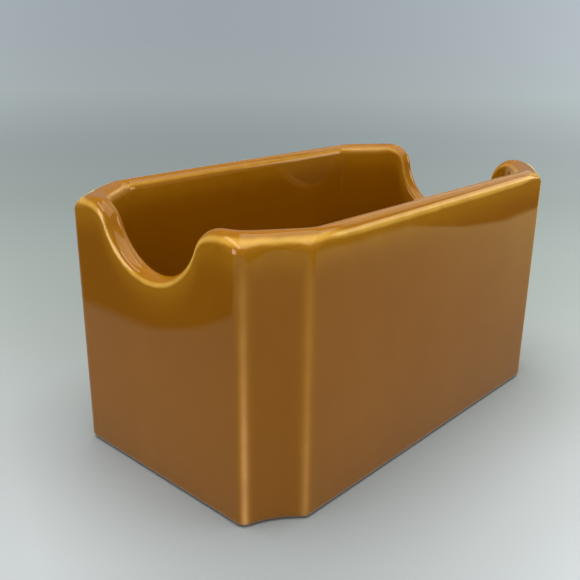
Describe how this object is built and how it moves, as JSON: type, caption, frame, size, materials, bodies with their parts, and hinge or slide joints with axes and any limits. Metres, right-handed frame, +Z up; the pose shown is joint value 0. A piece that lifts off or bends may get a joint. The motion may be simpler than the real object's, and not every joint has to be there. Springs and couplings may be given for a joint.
{
  "type": "sugar packet holder",
  "caption": "Open-topped glazed ceramic box with hollowed corners and a rounded finger cut in each end wall, for standing paper sugar packets in a row.",
  "frame": {"origin": "centre of the base, on the plane that the foot stands on", "axes": "+X along the long side, from the end wall with the shallow finger cut to the end wall with the deep one; +Y across the box; +Z up, out of the open top"},
  "size_m": [0.096, 0.056, 0.05],
  "materials": {
    "bare_clay": "unglazed fired clay, dry and slightly gritty",
    "amber_glaze": "glossy amber-brown glaze, lighter and golden where it breaks thin on edges"
  },
  "bodies": {
    "root": {"clay_body": "bare_clay", "glaze_coat": "amber_glaze", "base_glaze": "amber_glaze"}
  },
  "joints": []
}
